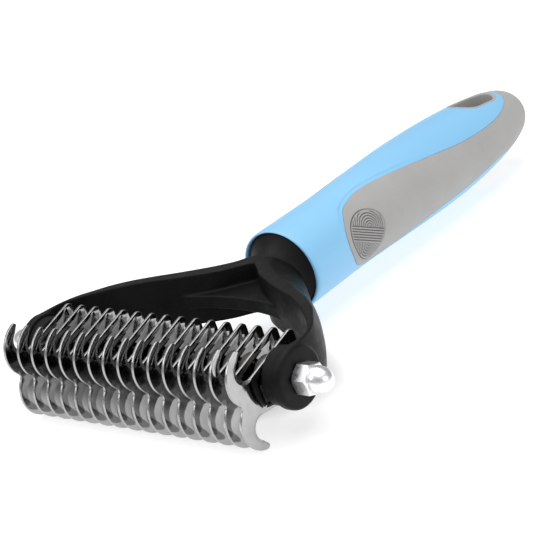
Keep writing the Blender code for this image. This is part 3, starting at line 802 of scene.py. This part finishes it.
def panel_distance(points, normals):
    """Distance along the surface to the panel's outline seen from the side, positive inside it."""
    outline = panel_outline()
    flat = points[:, 1:3]
    best = np.full(len(flat), 1.0)
    facing = np.zeros((len(flat), 2))
    inside = np.zeros(len(flat), bool)
    for start, end in zip(outline, np.roll(outline, -1, axis=0)):
        along = end - start
        share = np.clip((flat - start) @ along / (along @ along), 0, 1)
        distance = np.linalg.norm(flat - start - share[:, None] * along, axis=1)
        nearer = distance < best
        best[nearer] = distance[nearer]
        facing[nearer] = np.array([along[1], -along[0]]) / np.linalg.norm(along)
        spans = (start[1] > flat[:, 1]) != (end[1] > flat[:, 1])
        crossing = start[0] + (flat[:, 1] - start[1]) / (along[1] if along[1] else 1) * along[0]
        inside ^= spans & (flat[:, 0] < crossing)
    slope = np.einsum("ij,ij->i", normals[:, 1:3], facing)
    stretch = np.sqrt(np.maximum(1 - slope ** 2, 0.05))
    return np.where(inside, best, -best) / stretch


def hole_distance(points, normals):
    """Distance along the surface to the hanging hole's edge, positive outside the hole."""
    shift = (HANG_LENGTH - HANG_WIDTH) / 2
    ahead = points[:, 1] - HANG_CENTRE_Y
    offset = np.stack([points[:, 0], ahead - np.clip(ahead, -shift, shift)], 1)
    length = np.maximum(np.linalg.norm(offset, axis=1), 1e-9)
    slope = np.einsum("ij,ij->i", normals[:, :2], offset / length[:, None])
    return (length - HANG_WIDTH / 2) / np.sqrt(np.maximum(1 - slope ** 2, 0.05))


def pad_distance(points, _=None):
    """Rough distance to the thumb pad's egg-shaped edge, positive inside it."""
    ahead = points[:, 1] - PAD_CENTRE[0]
    up = points[:, 2] - PAD_CENTRE[1]
    half_width = PAD_HALF[0] * (1 + PAD_EGG * up / PAD_HALF[1])
    reach = np.sqrt((ahead / half_width) ** 2 + (up / PAD_HALF[1]) ** 2)
    return (1 - reach) * PAD_HALF[0]


def handle_grid():
    """The handle's outer form as an even grid, mouth end first."""
    y_run, across_run = FORM[:2]
    lengths = np.concatenate([[0], np.cumsum(np.hypot(np.diff(y_run), np.diff(across_run)))])
    first = np.interp(LIP_END_Y, y_run, lengths)
    count = int((lengths[-1] - first) / SECTION_SPACING)
    places = np.linspace(first, lengths[-1], count)
    sections = [np.interp(places, lengths, column) for column in FORM]
    across, height, rise = form_at(LIP_END_Y)
    mouth_height = MOUTH_RADIUS - MOUTH_OVAL
    rings = [(MOUTH_FLOOR_Y, 0.5 * MM, 0.5 * MM), (MOUTH_FLOOR_Y, MOUTH_RADIUS - MM, mouth_height - MM),
             (MOUTH_FLOOR_Y - MOUTH_CORNER, MOUTH_RADIUS, mouth_height)]
    for y, share in LIP:
        rings.append((y * MM, MOUTH_RADIUS + (across - MOUTH_RADIUS) * share,
                      mouth_height + (height - mouth_height) * share))
    rings = [(y, a, b, float(rise)) for y, a, b in rings] + list(zip(*sections))
    turns = 2 * pi * np.arange(SECTION_SIDES) / SECTION_SIDES
    sections = [np.stack([a * np.cos(turns), np.full(SECTION_SIDES, y), r + b * np.sin(turns)], 1)
                for y, a, b, r in rings]
    return lofted("handle_grid", sections, capped=True)


def opened(mesh):
    """The mesh as a bmesh to work on; the mesh itself is removed."""
    work = bmesh.new()
    work.from_mesh(mesh)
    bpy.data.meshes.remove(mesh)
    return work


def split_along(work, layer, level):
    """Cuts every face along the line where the layer's value is level."""
    for edge in list(work.edges):
        start, end = edge.verts
        before, after = start[layer] - level, end[layer] - level
        if before * after < 0:
            vert = bmesh.utils.edge_split(edge, start, before / (before - after))[1]
            vert[layer] = level
    for face in list(work.faces):
        on_line = [vert for vert in face.verts if abs(vert[layer] - level) < 1e-9]
        if len(on_line) == 2 and not any(edge.other_vert(on_line[0]) is on_line[1]
                                         for edge in on_line[0].link_edges):
            bmesh.utils.face_split(face, on_line[0], on_line[1])


def coordinates(work):
    return np.array([vert.co[:] for vert in work.verts])


def values(work, layer):
    return np.array([vert[layer] for vert in work.verts])


def set_values(work, layer, numbers):
    for vert, number in zip(work.verts, numbers):
        vert[layer] = float(number)


def move_verts(work, places):
    for vert, place in zip(work.verts, places):
        vert.co = place


def cut_grid(cuts):
    """The handle grid cut along the level lines of distance functions, given as (function, levels).

    Returns the bmesh, the points on the form, the normals and the distances."""
    work = opened(handle_grid())
    layers = [work.verts.layers.float.new(f"distance_{i}") for i in range(len(cuts))]
    for layer, (measure, levels) in zip(layers, cuts):
        set_values(work, layer, measure(*on_form(coordinates(work))))
        for level in levels:
            split_along(work, layer, level)
    points = coordinates(work)
    beyond_lip = points[:, 1] > LIP_END_Y - 1e-6
    placed, normals = on_form(points)
    placed[~beyond_lip] = points[~beyond_lip]
    distances = [values(work, layer) for layer in layers]
    for i, (measure, levels) in enumerate(cuts):
        fresh = measure(placed, normals)
        on_level = np.any(np.abs(distances[i][:, None] - np.array(levels)[None, :]) < 1e-9, axis=1)
        distances[i] = np.where(on_level, distances[i], fresh)
    return work, placed, normals, distances


def keep_faces(work, keep):
    """Deletes the faces for which keep, an array over the vertices, isn't true all round.

    Returns each vertex left with its place in that array."""
    work.verts.index_update()
    before = list(work.verts)
    gone = [face for face in work.faces if not all(keep[vert.index] for vert in face.verts)]
    bmesh.ops.delete(work, geom=gone, context="FACES")
    return {vert: place for place, vert in enumerate(before) if vert.is_valid}


def finished_mesh(name, work):
    bmesh.ops.recalc_face_normals(work, faces=work.faces)
    mesh = bpy.data.meshes.new(name)
    work.to_mesh(mesh)
    work.free()
    return mesh


def build_core(blue):
    """The blue core: let in for the panel, with a lowered band round it and a hole through the butt."""
    hole_edge = HANG_LINING + SEAM
    panel_levels = (-LAND - LAND_RAMP, -LAND, -SEAM - CORE_RIM, -(SEAM + CORE_RIM) / 2, -SEAM, RECESS_WALL)
    hole_levels = (hole_edge, hole_edge + RIM_BREAK, hole_edge + SOFT_RIM)
    work, placed, normals, (panel_d, hole_d) = cut_grid(
        [(panel_distance, panel_levels), (hole_distance, hole_levels)])
    depth = LAND_DEPTH * smooth_step(panel_d, -LAND - LAND_RAMP, -LAND)
    depth *= smooth_step(-placed[:, 1], -LAND_END_Y[1], -LAND_END_Y[0])
    depth += rolled(-panel_d - SEAM, CORE_RIM) + rolled(hole_d - hole_edge, SOFT_RIM)
    depth[panel_d > 0] = RECESS
    depth[placed[:, 1] < MOUTH_END_Y] = 0
    move_verts(work, placed - normals * depth[:, None])
    keep_faces(work, hole_d > hole_edge - WELD)
    rims = [edge for edge in work.edges if edge.is_boundary]
    bmesh.ops.bridge_loops(work, edges=rims)
    mesh = finished_mesh("handle_core_blue", work)
    piece(mesh.name, mesh, [blue], "blue_plastic", "handle_and_fork", "handle_core", angle=38)


def shell(work, index, placed, normals):
    """Closes a cut-out sheet into a skin: an inner copy below the form, and a wall round each border."""
    outer_faces = list(work.faces)
    inner = {vert: work.verts.new(placed[place] - normals[place] * SKIN)
             for vert, place in index.items() if vert.link_faces}
    borders = [edge for edge in work.edges if edge.is_boundary]
    for face in outer_faces:
        work.faces.new([inner[vert] for vert in reversed(face.verts)])
    for edge in borders:
        start, end = edge.verts
        work.faces.new([start, end, inner[end], inner[start]])
    bmesh.ops.delete(work, geom=[vert for vert in work.verts if not vert.link_faces], context="VERTS")


def build_grip(grey):
    """The grey overmould: two side panels that meet round the butt, cut away for the thumb pads."""
    lining = HANG_LINING + 2 * SEAM
    work, placed, normals, (panel_d, pad_d, hole_d) = cut_grid(
        [(panel_distance, (SEAM, 0.06 * MM, 0.11 * MM, SEAM + PANEL_RIM)),
         (pad_distance, (-SOFT_RIM, -RIM_BREAK, 0.0)), (hole_distance, (lining, lining + SOFT_RIM))])
    depth = rolled(panel_d - SEAM, PANEL_RIM) - PANEL_PROUD
    depth += rolled(-pad_d, SOFT_RIM) + rolled(hole_d - lining, SOFT_RIM)
    move_verts(work, placed - normals * depth[:, None])
    left = keep_faces(work, (panel_d > SEAM - WELD) & (pad_d < WELD) & (hole_d > lining - WELD))
    shell(work, left, placed, normals)
    mesh = finished_mesh("grip_overmould_grey", work)
    piece(mesh.name, mesh, [grey], "grey_soft_plastic", "handle_and_fork", "grip_overmould", angle=50)


def ridge_height(ahead, up):
    """Thumb pad relief: arcs over straight lines over arcs, a plain grip pattern, from 0 in a groove to 1."""
    upper_centre, lower_centre = RIDGE_ARCS
    along = ahead * cos(RIDGE_TILT) + up * sin(RIDGE_TILT)
    over = up * cos(RIDGE_TILT) - ahead * sin(RIDGE_TILT)
    reach = np.where(over > upper_centre, np.hypot(along, over - upper_centre),
                     np.where(over < lower_centre, np.hypot(along, over - lower_centre), upper_centre - over))
    phase = (reach / RIDGE_PITCH + 0.25) % 1.0
    groove = np.exp(-((phase - 0.5) / 0.2) ** 2)
    return 1 - groove


def build_thumb_pads(grey):
    """The egg-shaped pads of fine ridges, one on each side, each in a groove of its own."""
    across = np.arange(-PAD_HALF[0] * 1.22, PAD_HALF[0] * 1.22, PAD_GRID)
    upward = np.arange(-PAD_HALF[1] * 1.05, PAD_HALF[1] * 1.05, PAD_GRID)
    ahead, up = (grid.ravel() for grid in np.meshgrid(across, upward))
    rows, columns = len(upward), len(across)
    faces = [(r * columns + c, r * columns + c + 1, (r + 1) * columns + c + 1, (r + 1) * columns + c)
             for r in range(rows - 1) for c in range(columns - 1)]
    rim_end = PAD_GROOVE + SOFT_RIM
    for side, word in ((1, "right"), (-1, "left")):
        flat = side_point(ahead + PAD_CENTRE[0], up + PAD_CENTRE[1], side)
        work = opened(mesh_of("pad_grid", flat, faces))
        layer = work.verts.layers.float.new("distance")
        groove_shade = work.verts.layers.float.new(PAINTED_SHADE_ATTRIBUTE)
        set_values(work, layer, pad_distance(coordinates(work)))
        for level in (PAD_GROOVE, PAD_GROOVE + RIM_BREAK, rim_end):
            split_along(work, layer, level)
        placed, normals = on_form(coordinates(work))
        distance = values(work, layer)
        hollow = 1 - ridge_height(placed[:, 1] - PAD_CENTRE[0], placed[:, 2] - PAD_CENTRE[1])
        hollow *= smooth_step(distance, rim_end, rim_end + SOFT_RIM)
        depth = rolled(distance - PAD_GROOVE, SOFT_RIM) + RIDGE_DEPTH * hollow - PAD_PROUD
        move_verts(work, placed - normals * depth[:, None])
        rim = 1 - smooth_step(distance, PAD_GROOVE, rim_end)
        # painted shade for the ridges' grooves and the groove round the pad's edge
        set_values(work, groove_shade, np.maximum(hollow, rim))
        left = keep_faces(work, distance > PAD_GROOVE - WELD)
        shell(work, left, placed, normals)
        mesh = finished_mesh(f"{word}_thumb_pad_grey", work)
        piece(mesh.name, mesh, [grey], "grey_soft_plastic", "handle_and_fork", "grip_overmould", angle=60)


def build_hole_lining(grey):
    """The grey sleeve that lines the hanging hole, its rims rounded and following the handle's surface."""
    shift = (HANG_LENGTH - HANG_WIDTH) / 2
    steps = 36
    turns = [start + pi * i / steps for start in (0, pi) for i in range(steps + 1)]
    centres = [shift] * (steps + 1) + [-shift] * (steps + 1)
    inner, outer = HANG_WIDTH / 2, HANG_WIDTH / 2 + HANG_LINING
    arcs = np.linspace(0, pi / 2, 7)
    top = [(outer - SOFT_RIM + SOFT_RIM * cos(t), SOFT_RIM - SOFT_RIM * sin(t)) for t in arcs]
    top += [(inner + HANG_THROAT - HANG_THROAT * sin(t), HANG_THROAT - HANG_THROAT * cos(t)) for t in arcs]
    profile = [(r, d, 1) for r, d in top] + [(r, d, -1) for r, d in reversed(top)]
    rings = []
    for radius, drop, side in profile:
        ring = []
        for turn, centre in zip(turns, centres):
            x, y = radius * cos(turn), HANG_CENTRE_Y + centre + radius * sin(turn)
            across, height, rise = form_at(y)
            surface = height * sqrt(max(1 - (x / across) ** 2, 0.01))
            ring.append((x, y, rise + side * (surface - drop + LINING_PROUD)))
        rings.append(ring)
    half = len(top)
    upper, lower = np.array(rings[half - 1]), np.array(rings[half])
    walls = 8
    middle = [upper * (1 + share) / 2 + lower * (1 - share) / 2 for share in np.linspace(1, -1, walls + 2)[1:-1]]
    mesh = welded(lofted("hang_hole_lining_grey", rings[:half] + middle + rings[half:] + [rings[0]]))
    piece(mesh.name, mesh, [grey], "grey_soft_plastic", "handle_and_fork", "grip_overmould", angle=50)


# ---------------------------------------------------------------- studio

def build_camera():
    data = bpy.data.cameras.new("camera")
    data.lens = CAMERA_LENS
    data.sensor_width = 36
    data.clip_start, data.clip_end = 0.02, 20
    item = holder("camera", data)
    up = CAMERA_BACK.cross(CAMERA_RIGHT)
    turn = Matrix((CAMERA_RIGHT, up, CAMERA_BACK)).transposed().to_4x4()
    item.matrix_world = Matrix.Translation(ORIGIN + CAMERA_PLACE) @ turn
    bpy.context.scene.camera = item


def area_light(name, place, target, size, power):
    data = bpy.data.lights.new(name, "AREA")
    data.shape = "RECTANGLE"
    data.size, data.size_y = size
    data.energy = power
    item = holder(name, data)
    item.location = place
    item.rotation_mode = "QUATERNION"
    item.rotation_quaternion = (Vector(target) - Vector(place)).to_track_quat("-Z", "Y")


def build_studio(table):
    corners = [(-TABLE_SIZE, -TABLE_SIZE, 0), (TABLE_SIZE, -TABLE_SIZE, 0), (TABLE_SIZE, TABLE_SIZE, 0),
               (-TABLE_SIZE, TABLE_SIZE, 0)]
    floor = holder("floor", mesh_of("floor", corners, [(0, 1, 2, 3)]))
    floor.data.materials.append(table)
    floor.location.z = -TABLE_DROP
    world = bpy.data.worlds.new("studio")
    world.use_nodes = True
    background = world.node_tree.nodes["Background"]
    background.inputs["Color"].default_value = (1, 1, 1, 1)
    background.inputs["Strength"].default_value = WORLD_STRENGTH
    bpy.context.scene.world = world
    for light in LIGHTS:
        area_light(*light)
    bpy.context.scene.view_settings.view_transform = "Standard"


# ---------------------------------------------------------------- all together

def main():
    build_camera()
    build_studio(light_table())
    black, blue, grey = black_plastic(), blue_plastic(), grey_rubber()
    zinc = bright_zinc()
    build_blades(polished_steel(), cut_steel(), spacer_plastic())
    build_rod(zinc)
    build_collars(black)
    build_cap_nuts(zinc)
    build_fork(black)
    build_core(blue)
    build_grip(grey)
    build_thumb_pads(grey)
    build_hole_lining(grey)


main()
